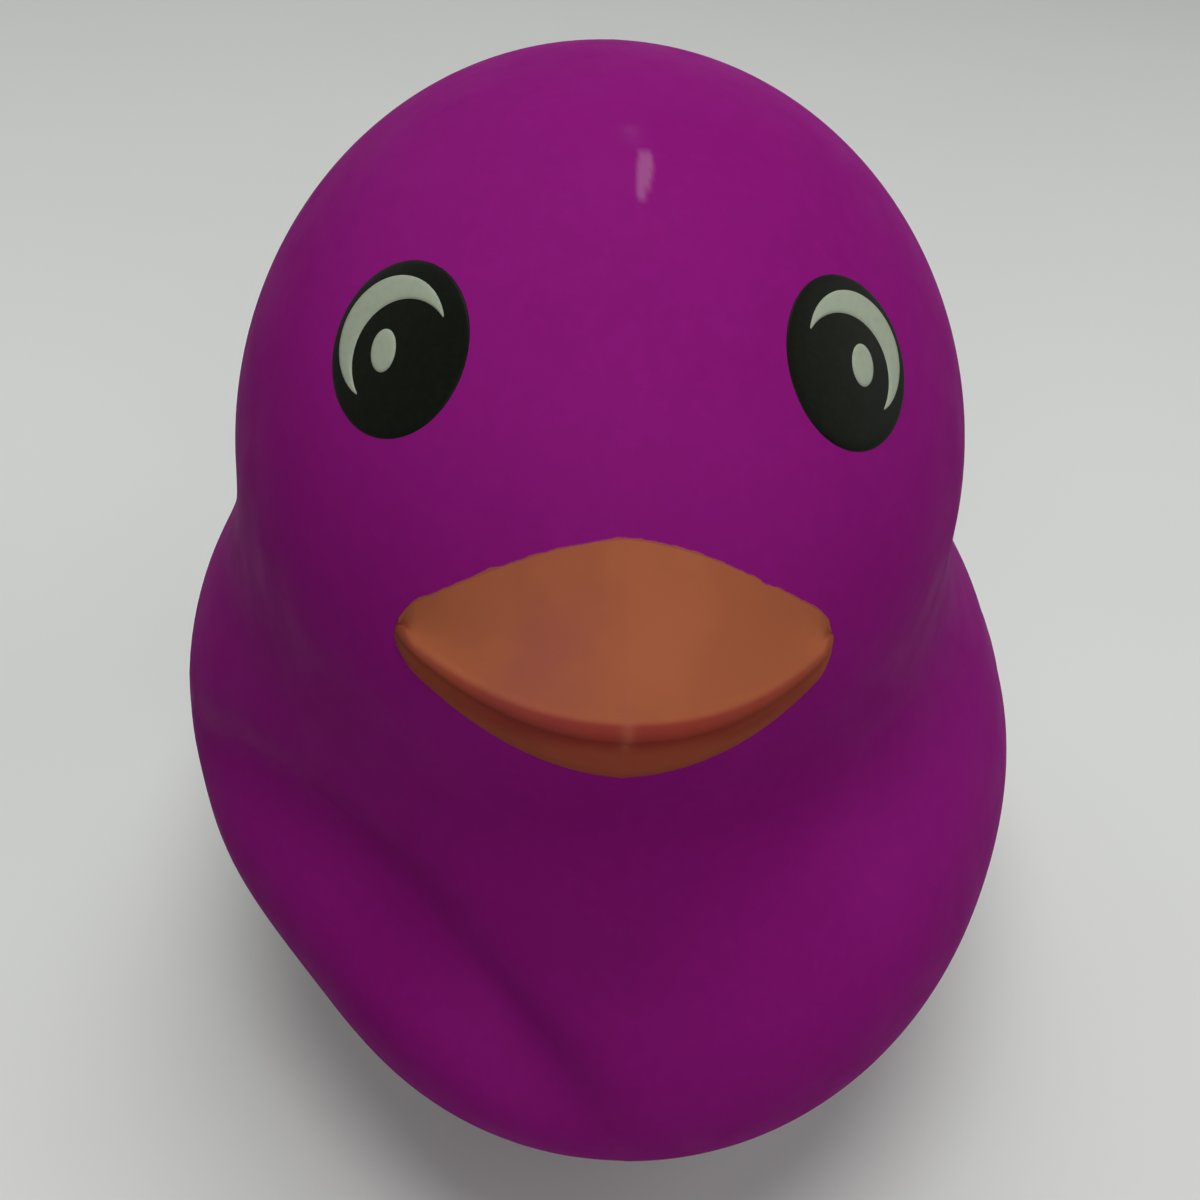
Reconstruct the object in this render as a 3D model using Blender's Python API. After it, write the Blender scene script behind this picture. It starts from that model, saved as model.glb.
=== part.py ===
# Squeezable duck: one hollow moulding of soft vinyl, with a painted bill and printed eyes.
#
# Metres, +Z up. The duck faces -Y and stands on Z = 0, and its own left is +X. The origin is
# the middle of the footprint of the whole duck. A thumb has pushed in the right side of its
# breast, so the wall has a crease there and the body sits a little over to the left.

import math

import bmesh
import bpy
import numpy as np

MM = 0.001

# Head: an egg that is a little deeper than it is wide
HEAD_WIDTH = 52.0 * MM
HEAD_DEPTH = 58.7 * MM
HEAD_HEIGHT = 55.8 * MM
HEAD_AHEAD = 17.3 * MM
HEAD_CENTRE_HEIGHT = 60.7 * MM

# Body: the full egg, before its underside is cut
BODY_WIDTH = 70.9 * MM
BODY_LENGTH = 98.7 * MM
BODY_HEIGHT = 59.2 * MM
BODY_CENTRE_HEIGHT = 25.5 * MM
BODY_PUSHED_OVER = 3.7 * MM

# Breast and neck: the two fuller forms that carry the body up into the head
BREAST_WIDTH = 63.4 * MM
BREAST_LENGTH = 36.0 * MM
BREAST_HEIGHT = 46.8 * MM
BREAST_AHEAD = 15.8 * MM
BREAST_CENTRE_HEIGHT = 33.8 * MM
NECK_WIDTH = 58.4 * MM
NECK_LENGTH = 48.1 * MM
NECK_HEIGHT = 28.0 * MM
NECK_AHEAD = 9.6 * MM
NECK_CENTRE_HEIGHT = 43.1 * MM

# Tail: a flat egg, turned up at the back
TAIL_WIDTH = 30.0 * MM
TAIL_LENGTH = 50.0 * MM
TAIL_THICKNESS = 16.0 * MM
TAIL_BEHIND = 29.0 * MM
TAIL_CENTRE_HEIGHT = 39.0 * MM
TAIL_UPTURN = math.radians(27.0)

# How softly the forms run into each other, and into the cut underside
BODY_BLEND = 8.0 * MM
NECK_BLEND = 9.5 * MM
TAIL_BLEND = 12.0 * MM
BASE_BLEND = 1.6 * MM

# Folded wings, in low relief on both flanks
WING_LENGTH = 47.0 * MM
WING_HEIGHT = 21.0 * MM
WING_BEHIND = 12.0 * MM
WING_CENTRE_HEIGHT = 25.0 * MM
WING_TILT = math.radians(14.0)
WING_RELIEF = 1.2 * MM
WING_EDGE = 4.6 * MM
WING_TAPER = 0.35

# The crease that a thumb has pushed into the right side of the breast
CREASE_HEIGHT = 34.5 * MM
CREASE_MIDDLE = -21.0 * MM
CREASE_ARCH_RADIUS = 22.0 * MM
CREASE_DEPTH = 2.6 * MM
CREASE_ABOVE = 6.5 * MM
CREASE_BELOW = 4.6 * MM
CREASE_INNER_END = 5.0 * MM
CREASE_FADE = 12.0 * MM
CREASE_BACK_END = -14.0 * MM

# The wide shallow press that the same thumb has left below the crease
PRESS_PLACE = (-22.0 * MM, -33.0 * MM, 17.0 * MM)
PRESS_DEPTH = 0.7 * MM
PRESS_RADIUS = 11.0 * MM

# The flat oval pad that the duck stands on, a little proud of its cut underside
PAD_WIDTH = 32.0 * MM
PAD_LENGTH = 44.0 * MM
PAD_PROUD = 0.4 * MM
PAD_SIDES = 20

# Wall and vent
WALL = 2.0 * MM
VENT_DIAMETER = 3.0 * MM
VENT_SIDES = 16
VENT_CUT = 8.0 * MM

# Bill: a wide upper bill whose lip stands over a mouth groove and a lower bill
BILL_WIDTH = 26.8 * MM
BILL_REACH = 7.6 * MM
BILL_CORNER_PROUD = 1.6 * MM
BILL_SWEEP = 2.1
BILL_RISE = 5.8 * MM
BILL_RISE_CURVE = 1.7
BILL_HOLLOW = 0.4 * MM
BILL_HEIGHT = 5.4 * MM
BILL_BURIED = 3.0 * MM
BILL_END_BURIED = 0.8 * MM
# Shares: how much the front thins towards the corners, and how much of each side rounds off
BILL_THINNING = 0.6
BILL_THINNING_CURVE = 1.5
BILL_END = 0.15
LIP_ABOVE_HEAD_CENTRE = 3.9 * MM
LIP_CORNER_DROP = 1.4 * MM
LIP_THICKNESS = 1.6 * MM
LIP_ROUND = 1.0 * MM
LOWER_BILL_SET_BACK = 1.2 * MM
LOWER_BILL_ROUND = 1.5 * MM
GROOVE_WIDTH = 0.9 * MM
GROOVE_DEPTH = 0.8 * MM

# Eyes: where they sit, as turns about the head's centre, and the sizes of their print
EYE_TURN = math.radians(36.5)
EYE_RAISE = math.radians(36.2)
EYE_WIDTH = 9.9 * MM
EYE_HEIGHT = 10.7 * MM
GLINT_OUTER_RADIUS = 3.87 * MM
GLINT_INNER_RADIUS = 3.5 * MM
GLINT_OUTER_PLACE = (-0.5 * MM, 0.6 * MM)
GLINT_INNER_PLACE = (0.5 * MM, -0.75 * MM)
PUPIL_DOT_WIDTH = 1.9 * MM
PUPIL_DOT_HEIGHT = 2.7 * MM
PUPIL_DOT_PLACE = (-0.7 * MM, -0.2 * MM)
PRINT_THICKNESS = 0.15 * MM
PRINT_BURIED = 0.9 * MM

# Fineness of the meshes
SKIN_RINGS = 74
SKIN_COLUMNS = 54
CAVITY_RINGS = 26
CAVITY_COLUMNS = 22
BILL_STATIONS = 25
EYE_CELLS = 7
DOT_CELLS = 3
GLINT_CELLS = 14

# The skin is ruled by planes that fan out from a line behind the neck, this far from the head
FAN_CLEARANCE = 17.0 * MM

# Colours, linear
VINYL_PURPLE = (0.30, 0.012, 0.26, 1.0)
BILL_ORANGE = (0.56, 0.16, 0.06, 1.0)
PRINT_BLACK = (0.012, 0.013, 0.010, 1.0)
PRINT_WHITE = (0.72, 0.74, 0.68, 1.0)


def clear_scene():
    for thing in list(bpy.data.objects):
        bpy.data.objects.remove(thing, do_unlink=True)


def paint(name, colour, roughness):
    material = bpy.data.materials.new(name)
    material.use_nodes = True
    shader = material.node_tree.nodes["Principled BSDF"]
    shader.inputs["Base Color"].default_value = colour
    shader.inputs["Roughness"].default_value = roughness
    shader.inputs["Metallic"].default_value = 0.0
    material.diffuse_color = colour
    return material


# Forms, as distances: below zero inside, zero on the skin, above zero outside

def egg(points, centre, size):
    """Distance to an egg, to first order: k (k - 1) / m, where k is the length of the point
    measured in half sizes and m the length of it measured in squared half sizes."""
    half = np.asarray(size) / 2.0
    away = points - np.asarray(centre)
    k = np.sqrt(((away / half) ** 2).sum(-1))
    m = np.sqrt(((away / half**2) ** 2).sum(-1)) + 1e-9
    return k * (k - 1.0) / m


def merged(a, b, blend):
    """The nearer of two forms, with the crease between them filled over the blend."""
    filled = np.maximum(blend - np.abs(a - b), 0.0) / blend
    return np.minimum(a, b) - filled**2 * blend / 4.0


def smooth_step(value, start, end):
    """0 before start, 1 after end, and a smooth S between them."""
    t = np.clip((value - start) / (end - start), 0.0, 1.0)
    return t * t * (3.0 - 2.0 * t)


def tilted(points, centre, angle):
    """Points in the frame of a form that is turned up at the back by the angle."""
    away = points - np.asarray(centre)
    c, s = math.cos(angle), math.sin(angle)
    return np.stack([away[..., 0], c * away[..., 1] + s * away[..., 2],
                     c * away[..., 2] - s * away[..., 1]], -1)


def head_distance(points):
    return egg(points, (0.0, -HEAD_AHEAD, HEAD_CENTRE_HEIGHT),
               (HEAD_WIDTH, HEAD_DEPTH, HEAD_HEIGHT))


def body_distance(points):
    side = BODY_PUSHED_OVER
    body = egg(points, (side, 0.0, BODY_CENTRE_HEIGHT), (BODY_WIDTH, BODY_LENGTH, BODY_HEIGHT))
    breast = egg(points, (0.0, -BREAST_AHEAD, BREAST_CENTRE_HEIGHT),
                 (BREAST_WIDTH, BREAST_LENGTH, BREAST_HEIGHT))
    neck = egg(points, (0.0, -NECK_AHEAD, NECK_CENTRE_HEIGHT),
               (NECK_WIDTH, NECK_LENGTH, NECK_HEIGHT))
    tail = egg(tilted(points, (side, TAIL_BEHIND, TAIL_CENTRE_HEIGHT), TAIL_UPTURN),
               (0.0, 0.0, 0.0), (TAIL_WIDTH, TAIL_LENGTH, TAIL_THICKNESS))
    form = merged(body, breast, BODY_BLEND)
    form = merged(form, tail, TAIL_BLEND)
    return merged(form, neck, BODY_BLEND)


def wing_relief(points):
    """How far the wings stand out. Seen from the side a wing is a leaf: across the line from
    its round front to its pointed rear, its half height is sqrt(1 - u^2) (1 - taper u)."""
    leaf = tilted(points, (BODY_PUSHED_OVER, WING_BEHIND, WING_CENTRE_HEIGHT), WING_TILT)
    u = leaf[..., 1] / (WING_LENGTH / 2.0)
    half = WING_HEIGHT / 2.0 * np.sqrt(np.clip(1.0 - u**2, 0.0, 1.0)) * (1.0 - WING_TAPER * u)
    inside = np.minimum(half - np.abs(leaf[..., 2]), (1.0 - np.abs(u)) * WING_LENGTH / 2.0)
    flank = smooth_step(np.abs(leaf[..., 0]), BODY_WIDTH / 8.0, BODY_WIDTH / 4.0)
    return WING_RELIEF * smooth_step(inside, 0.0, WING_EDGE) * flank


def dent_depth(points):
    """How far the breast is pushed in: a valley along a low arch across its right side, steep
    below and gentler above, which fades out at both of its ends, and the press under it."""
    x, y, z = points[..., 0], points[..., 1], points[..., 2]
    arch = CREASE_HEIGHT - (x - CREASE_MIDDLE) ** 2 / (2.0 * CREASE_ARCH_RADIUS)
    across = z - arch
    reach = np.where(across > 0.0, CREASE_ABOVE, CREASE_BELOW)
    valley = np.exp(-((across / reach) ** 2))
    inner = 1.0 - smooth_step(x, CREASE_INNER_END - CREASE_FADE, CREASE_INNER_END)
    back = 1.0 - smooth_step(y, CREASE_BACK_END - CREASE_FADE, CREASE_BACK_END)
    away = np.linalg.norm(points - np.asarray(PRESS_PLACE), axis=-1)
    press = PRESS_DEPTH * np.exp(-((away / PRESS_RADIUS) ** 2))
    return CREASE_DEPTH * valley * inner * back + press


def skin_distance(points):
    """Distance to the outer skin of the whole duck, cut flat underneath at the pad's top."""
    form = merged(body_distance(points), head_distance(points), NECK_BLEND)
    form = form - wing_relief(points) + dent_depth(points)
    return -merged(-form, points[..., 2] - PAD_PROUD, BASE_BLEND)


def outward(points, distance):
    """Unit directions in which the distance grows."""
    step = 0.02 * MM
    sides = np.eye(3) * step
    grow = np.stack([distance(points + side) - distance(points - side) for side in sides], -1)
    return grow / np.linalg.norm(grow, axis=-1, keepdims=True)


def crossing(start, along, distance, reach):
    """How far along each ray the distance first rises through zero, by marching out in even
    steps and then halving the last one."""
    marks = np.linspace(0.0, reach, 161)
    walked = distance(start[..., None, :] + along[..., None, :] * marks[:, None])
    outside = walked > 0.0
    first = np.where(outside.any(-1), outside.argmax(-1), len(marks) - 1)
    high = marks[first]
    low = marks[np.maximum(first - 1, 0)]
    for _ in range(24):
        middle = (low + high) / 2.0
        beyond = distance(start + along * middle[..., None]) > 0.0
        high = np.where(beyond, middle, high)
        low = np.where(beyond, low, middle)
    return (low + high) / 2.0


def middle_line(heights):
    """Sideways place of the duck's middle at each height: over to the left in the body, and
    back at zero from the head's centre up."""
    return BODY_PUSHED_OVER * (1.0 - smooth_step(heights, BODY_CENTRE_HEIGHT, HEAD_CENTRE_HEIGHT))


def fan_of_rings(distance, rings, columns):
    """The duck's skin as rings of points, and the two poles at its tail tip and crown.

    Planes fan out from a line behind the neck, and each cuts the duck in one ring. A ring's
    points are cast out from its middle at even angles. The planes are spaced so that they
    part evenly along the duck's outline, which counts twice on its underside, breast and face."""
    hinge = np.array([-HEAD_AHEAD + HEAD_DEPTH / 2.0 + FAN_CLEARANCE,
                      HEAD_CENTRE_HEIGHT + FAN_CLEARANCE])
    reach = BODY_LENGTH + HEAD_HEIGHT
    marks = np.linspace(0.0, reach, 400)

    def chords(angles):
        aim = np.stack([np.cos(angles), np.sin(angles)], -1)
        line = hinge + aim[:, None, :] * marks[:, None]
        points = np.concatenate([middle_line(line[..., 1:]), line], -1)
        inside = distance(points) < 0.0
        near = inside.argmax(-1)
        far = len(marks) - 1 - inside[:, ::-1].argmax(-1)
        return inside.any(-1), marks[near], marks[far], points, near, far

    turns = np.radians(np.linspace(-10.0, -230.0, 2201))
    hit, near, far, points, first, last = chords(turns)
    kept = np.flatnonzero(hit)
    turns, near, far = turns[kept], near[kept], far[kept]
    steps = [np.linalg.norm(np.diff(points[kept, edge[kept]], axis=0), axis=1)
             for edge in (first, last)]
    walked = np.concatenate([[0.0], np.cumsum(steps[0] + 2.0 * steps[1])])
    stops = np.interp(np.linspace(0.0, walked[-1], rings + 2), walked, turns)

    aim = np.stack([np.zeros(rings + 2), np.cos(stops), np.sin(stops)], -1)
    reach_to_middle = np.interp(-stops, -turns, (near + far) / 2.0)
    middle = np.concatenate([[0.0], hinge]) + aim * reach_to_middle[:, None]
    middle[:, 0] = middle_line(middle[:, 2])
    poles = middle[[0, -1]]
    middle, aim = middle[1:-1], aim[1:-1]
    around = np.linspace(0.0, 2.0 * np.pi, columns, endpoint=False)
    sideways = np.array([1.0, 0.0, 0.0])
    along = (np.cos(around)[None, :, None] * sideways
             + np.sin(around)[None, :, None] * aim[:, None, :])
    start = np.broadcast_to(middle[:, None, :], along.shape)
    away = crossing(start, along, distance, BODY_LENGTH)
    return start + along * away[..., None], poles


# Meshes

def mesh_object(name, points, faces, material):
    mesh = bpy.data.meshes.new(name)
    mesh.from_pydata(points.tolist(), [], faces)
    shape = bmesh.new()
    shape.from_mesh(mesh)
    bmesh.ops.recalc_face_normals(shape, faces=shape.faces)
    shape.to_mesh(mesh)
    shape.free()
    mesh.materials.append(material)
    mesh.shade_smooth()
    thing = bpy.data.objects.new(name, mesh)
    bpy.context.scene.collection.objects.link(thing)
    return thing


def closed_rings(name, rings, poles, material):
    """A closed body from rings of points and a pole at each end."""
    count, columns = rings.shape[:2]
    points = np.concatenate([rings.reshape(-1, 3), poles])
    first_pole, last_pole = count * columns, count * columns + 1
    faces = []
    for i in range(count - 1):
        for j in range(columns):
            k = (j + 1) % columns
            faces.append((i * columns + j, i * columns + k,
                          (i + 1) * columns + k, (i + 1) * columns + j))
    for j in range(columns):
        k = (j + 1) % columns
        faces.append((first_pole, k, j))
        faces.append((last_pole, (count - 1) * columns + j, (count - 1) * columns + k))
    return mesh_object(name, points, faces, material)


def slab(name, upper, lower, material):
    """A closed body between two grids of points with the same rows and columns."""
    rows, columns = upper.shape[:2]
    points = np.concatenate([upper.reshape(-1, 3), lower.reshape(-1, 3)])
    under = rows * columns
    faces = []
    for i in range(rows - 1):
        for j in range(columns - 1):
            a = i * columns + j
            faces.append((a, a + 1, a + columns + 1, a + columns))
            faces.append((under + a, under + a + columns, under + a + columns + 1, under + a + 1))
    rim = [j for j in range(columns)]
    rim += [i * columns + columns - 1 for i in range(1, rows)]
    rim += [(rows - 1) * columns + j for j in range(columns - 2, -1, -1)]
    rim += [i * columns for i in range(rows - 2, 0, -1)]
    for a, b in zip(rim, rim[1:] + rim[:1]):
        faces.append((b, a, under + a, under + b))
    return mesh_object(name, points, faces, material)


def combine(body, tool, operation):
    """Adds a Boolean to the body, and keeps its tool out of sight."""
    modifier = body.modifiers.new(tool.name, "BOOLEAN")
    modifier.operation = operation
    modifier.solver = "EXACT"
    modifier.material_mode = "TRANSFER"
    modifier.object = tool
    tool.hide_render = True
    tool.display_type = "WIRE"


# Bill

def face_front(x, z):
    """Y of the head's front at a sideways place and a height."""
    left = (1.0 - (x / (HEAD_WIDTH / 2.0)) ** 2
            - ((z - HEAD_CENTRE_HEIGHT) / (HEAD_HEIGHT / 2.0)) ** 2)
    return -HEAD_AHEAD - HEAD_DEPTH / 2.0 * np.sqrt(np.clip(left, 0.01, 1.0))


def quarter_round(depth, radius):
    """How far a round edge falls back, at a depth below its face."""
    inside = np.clip(radius - depth, 0.0, radius)
    return radius - np.sqrt(radius**2 - inside**2)


def bill_section(t):
    """One section of the bill, at t from -1 to 1 across it, as a closed loop of points.

    The loop runs along the top from the face to the lip, down the front past the mouth
    groove, and back along the underside into the head. The lip sweeps back from its middle
    as a power of |t|, and the lower bill thins and comes forward towards the corners. Over the
    last share u of each side the whole section shrinks to its root as sqrt(1 - u^2)."""
    x = t * BILL_WIDTH / 2.0
    lip_height = HEAD_CENTRE_HEIGHT + LIP_ABOVE_HEAD_CENTRE
    z_lip = lip_height - LIP_CORNER_DROP * t**2
    z_root = z_lip + BILL_RISE * (1.0 - abs(t) ** BILL_RISE_CURVE)
    thin = 1.0 - BILL_THINNING * abs(t) ** BILL_THINNING_CURVE
    full = 1.0 - t**2
    z_under = z_lip - BILL_HEIGHT * thin
    y_middle = face_front(0.0, HEAD_CENTRE_HEIGHT) - BILL_REACH
    y_corner = face_front(BILL_WIDTH / 2.0, lip_height) - BILL_CORNER_PROUD
    y_lip = y_middle + (y_corner - y_middle) * abs(t) ** BILL_SWEEP

    # Along the top, 0 is on the face and 1 at the lip, and the first point is in the head
    s = np.array([-0.45, 0.0, 0.25, 0.5, 0.75, 1.0])
    y_root = face_front(x, z_root)
    hollow = BILL_HOLLOW * np.sin(np.pi * np.clip(s, 0.0, 1.0))
    top = np.stack([np.full_like(s, x), y_root + (y_lip + LIP_ROUND - y_root) * s,
                    z_root + (z_lip - z_root) * s - hollow], -1)

    marks = (0.1, 0.3, 0.6, 1.0)
    groove = LIP_THICKNESS + GROOVE_WIDTH / 2.0
    depth = np.array([LIP_ROUND * m for m in marks]
                     + [LIP_THICKNESS, groove, LIP_THICKNESS + GROOVE_WIDTH]
                     + [BILL_HEIGHT - LOWER_BILL_ROUND * (1.0 - m) for m in (0.0, 0.45, 0.8, 1.0)])
    fall = quarter_round(depth, LIP_ROUND)
    fall += LOWER_BILL_SET_BACK * full * smooth_step(depth, LIP_ROUND, groove)
    fall += GROOVE_DEPTH * math.sqrt(full) * np.exp(-(((depth - groove) / (GROOVE_WIDTH / 2.0)) ** 2))
    fall += quarter_round(BILL_HEIGHT - depth, LOWER_BILL_ROUND)
    front = np.stack([np.full_like(depth, x), y_lip + fall, z_lip - depth * thin], -1)

    y_chin = face_front(x, z_under) + BILL_BURIED
    under = np.array([[x, (front[-1, 1] + y_chin) / 2.0, z_under], [x, y_chin, z_under],
                      [x, y_chin, (z_under + z_root) / 2.0]])
    section = np.concatenate([top, front, under])
    root = np.array([x, face_front(x, z_lip) + BILL_END_BURIED, z_lip - BILL_HEIGHT / 3.0])
    u = max((abs(t) - 1.0 + BILL_END) / BILL_END, 0.0)
    return root + (section - root) * math.sqrt(max(1.0 - u**2, 0.0)), root


def make_bill(material):
    """The bill, from sections that crowd towards its two corners as the sine does."""
    places = np.sin(np.linspace(-np.pi / 2.0, np.pi / 2.0, BILL_STATIONS + 2))
    sections = [bill_section(t) for t in places]
    rings = np.array([section for section, _ in sections[1:-1]])
    poles = np.array([sections[0][1], sections[-1][1]])
    return closed_rings("bill", rings, poles, material)


# Eyes

def eye_frame(side):
    """Centre of an eye on the skin, and its outward, inward-to-the-bill and upright directions.
    The print stands upright in a fore-and-aft plane."""
    head = np.array([0.0, -HEAD_AHEAD, HEAD_CENTRE_HEIGHT])
    aim = np.array([side * math.sin(EYE_TURN) * math.cos(EYE_RAISE),
                    -math.cos(EYE_TURN) * math.cos(EYE_RAISE), math.sin(EYE_RAISE)])
    centre = head + aim * crossing(head[None], aim[None], skin_distance, HEAD_DEPTH)[0]
    out = outward(centre[None], skin_distance)[0]
    upright = np.array([0.0, math.sin(EYE_RAISE), math.cos(EYE_RAISE)])
    upright -= out * (upright @ out)
    upright /= np.linalg.norm(upright)
    inward = np.cross(upright, out) * -side
    inward = inward if inward[0] * side < 0.0 else -inward
    return centre, out, inward, upright


def stamp(name, side, flat, thickness, material):
    """A thin print on the skin: flat is a grid of places in the eye's own plane, dropped onto
    the skin along the eye's outward direction."""
    centre, out, inward, upright = eye_frame(side)
    places = centre + flat[..., :1] * inward + flat[..., 1:] * upright
    start = places - out * HEAD_WIDTH / 8.0
    along = np.broadcast_to(out, places.shape)
    on_skin = start + along * crossing(start, along, skin_distance, HEAD_WIDTH / 2.0)[..., None]
    away = outward(on_skin, skin_distance)
    return slab(name, on_skin + away * thickness, on_skin - away * PRINT_BURIED, material)


def oval(width, height, place, cells):
    """A grid over an oval: a square's u and v become u sqrt(1 - v^2/2) and v sqrt(1 - u^2/2)."""
    u, v = np.meshgrid(np.linspace(-1.0, 1.0, cells + 1), np.linspace(-1.0, 1.0, cells + 1))
    across = place[0] + width / 2.0 * u * np.sqrt(1.0 - v**2 / 2.0)
    up = place[1] + height / 2.0 * v * np.sqrt(1.0 - u**2 / 2.0)
    return np.stack([across, up], -1)


def glint_arc(cells):
    """A grid over the crescent between two circles: where they cross, it has its two tips."""
    a, b = np.array(GLINT_OUTER_PLACE), np.array(GLINT_INNER_PLACE)
    apart = np.linalg.norm(b - a)
    axis = (b - a) / apart
    along = (apart**2 + GLINT_OUTER_RADIUS**2 - GLINT_INNER_RADIUS**2) / (2.0 * apart)
    reach = math.acos(max(-1.0, min(1.0, along / GLINT_OUTER_RADIUS)))
    inner_reach = math.acos(max(-1.0, min(1.0, (along - apart) / GLINT_INNER_RADIUS)))
    heading = math.atan2(axis[1], axis[0])
    share = np.linspace(-0.97, 0.97, cells + 1)
    outer_turn = heading + np.pi + share * (np.pi - reach)
    inner_turn = heading + np.pi + share * (np.pi - inner_reach)
    outer = a + GLINT_OUTER_RADIUS * np.stack([np.cos(outer_turn), np.sin(outer_turn)], -1)
    inner = b + GLINT_INNER_RADIUS * np.stack([np.cos(inner_turn), np.sin(inner_turn)], -1)
    return np.stack([outer, inner])


def make_eyes(black, white):
    """The prints of both eyes: a black oval, and on it a white crescent and a white dot."""
    prints = []
    for side, word in ((-1.0, "right"), (1.0, "left")):
        ground = oval(EYE_WIDTH, EYE_HEIGHT, (0.0, 0.0), EYE_CELLS)
        dot = oval(PUPIL_DOT_WIDTH, PUPIL_DOT_HEIGHT, PUPIL_DOT_PLACE, DOT_CELLS)
        prints.append(stamp("eye_" + word, side, ground, PRINT_THICKNESS, black))
        glint = glint_arc(GLINT_CELLS)
        prints.append(stamp("glint_" + word, side, glint, 2.0 * PRINT_THICKNESS, white))
        prints.append(stamp("dot_" + word, side, dot, 2.0 * PRINT_THICKNESS, white))
    return prints


# Underside and hollow

def make_pad(material):
    """The pad under the body, from the ground up to the middle of the wall."""
    depth = PAD_PROUD + WALL / 2.0
    bpy.ops.mesh.primitive_cylinder_add(vertices=PAD_SIDES, radius=PAD_WIDTH / 2.0, depth=depth,
                                        location=(BODY_PUSHED_OVER, 0.0, depth / 2.0))
    pad = bpy.context.object
    pad.name = "pad"
    pad.scale.y = PAD_LENGTH / PAD_WIDTH
    pad.data.materials.append(material)
    return pad


def cavity_distance(points):
    return skin_distance(points) + WALL


def make_cavity(material):
    rings, poles = fan_of_rings(cavity_distance, CAVITY_RINGS, CAVITY_COLUMNS)
    return closed_rings("cavity", rings, poles, material)


def make_vent(material):
    """The small hole through the middle of the underside."""
    bpy.ops.mesh.primitive_cylinder_add(vertices=VENT_SIDES, radius=VENT_DIAMETER / 2.0,
                                        depth=VENT_CUT,
                                        location=(BODY_PUSHED_OVER, 0.0, 0.0))
    vent = bpy.context.object
    vent.name = "vent"
    vent.data.materials.append(material)
    return vent


def stand_on_origin(things, outermost):
    """Moves everything so that the origin is the middle of the footprint of the outermost."""
    corners = np.concatenate([[tuple(v.co) for v in thing.data.vertices] for thing in outermost])
    middle = (corners.min(axis=0) + corners.max(axis=0)) / 2.0
    for thing in things:
        thing.location.x -= middle[0]
        thing.location.y -= middle[1]


def main():
    clear_scene()
    purple = paint("purple_vinyl", VINYL_PURPLE, 0.42)
    orange = paint("orange_bill_paint", BILL_ORANGE, 0.45)
    black = paint("black_print", PRINT_BLACK, 0.3)
    white = paint("white_print", PRINT_WHITE, 0.35)

    rings, poles = fan_of_rings(skin_distance, SKIN_RINGS, SKIN_COLUMNS)
    duck = closed_rings("duck", rings, poles, purple)
    bill = make_bill(orange)
    added = [make_pad(purple), bill] + make_eyes(black, white)
    removed = [make_cavity(purple), make_vent(purple)]
    for tool in added:
        combine(duck, tool, "UNION")
    for tool in removed:
        combine(duck, tool, "DIFFERENCE")
    stand_on_origin([duck] + added + removed, [duck, bill])


main()
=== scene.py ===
# The look of the squeezable duck: its vinyl skin, painted bill, printed eyes, and the stage.
#
# Metres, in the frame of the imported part. Every form is first worked out in the duck's own
# frame, where X = 0 is the middle plane of the head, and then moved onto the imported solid.

import math

import bmesh
import bpy
import numpy as np
from bpy.props import FloatProperty, FloatVectorProperty, IntProperty, PointerProperty
from mathutils import Matrix, Vector


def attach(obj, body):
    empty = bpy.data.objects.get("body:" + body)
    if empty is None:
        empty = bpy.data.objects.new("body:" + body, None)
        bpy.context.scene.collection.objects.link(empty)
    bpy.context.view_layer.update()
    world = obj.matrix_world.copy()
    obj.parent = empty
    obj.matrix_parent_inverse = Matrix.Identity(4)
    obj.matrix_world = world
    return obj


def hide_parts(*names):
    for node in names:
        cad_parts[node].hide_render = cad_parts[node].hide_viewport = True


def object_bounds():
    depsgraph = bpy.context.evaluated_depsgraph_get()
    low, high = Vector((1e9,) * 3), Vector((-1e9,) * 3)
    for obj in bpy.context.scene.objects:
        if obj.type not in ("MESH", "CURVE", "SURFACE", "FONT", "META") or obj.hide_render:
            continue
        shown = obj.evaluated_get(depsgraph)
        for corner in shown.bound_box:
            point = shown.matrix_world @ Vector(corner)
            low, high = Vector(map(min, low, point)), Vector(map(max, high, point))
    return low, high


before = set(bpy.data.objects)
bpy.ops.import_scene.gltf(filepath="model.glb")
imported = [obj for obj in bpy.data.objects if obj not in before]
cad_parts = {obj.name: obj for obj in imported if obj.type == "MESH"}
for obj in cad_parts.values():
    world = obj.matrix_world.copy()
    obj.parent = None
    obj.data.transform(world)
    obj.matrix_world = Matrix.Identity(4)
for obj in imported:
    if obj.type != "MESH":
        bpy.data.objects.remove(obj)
CAD_LOW, CAD_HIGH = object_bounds()

bl_info = {
    "name": "Squeezable Duck",
    "version": (1, 0, 0),
    "blender": (4, 5, 0),
    "location": "3D View > Sidebar > Duck",
    "description": "Skin, bill, eyes and stage of a squeezable vinyl duck",
    "category": "Add Mesh",
}

MM = 0.001


# Settings

def length(name, millimetres, words, lowest=0.0):
    """A length in the sidebar, given here in millimetres and kept in metres."""
    return FloatProperty(name=name, description=words, default=millimetres * MM,
                         min=lowest * MM, precision=5, subtype="DISTANCE", unit="LENGTH")


def colour(name, linear, words):
    """A colour in the sidebar, as linear red, green and blue."""
    return FloatVectorProperty(name=name, description=words, default=linear, size=3,
                               min=0.0, max=1.0, subtype="COLOR")


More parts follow.
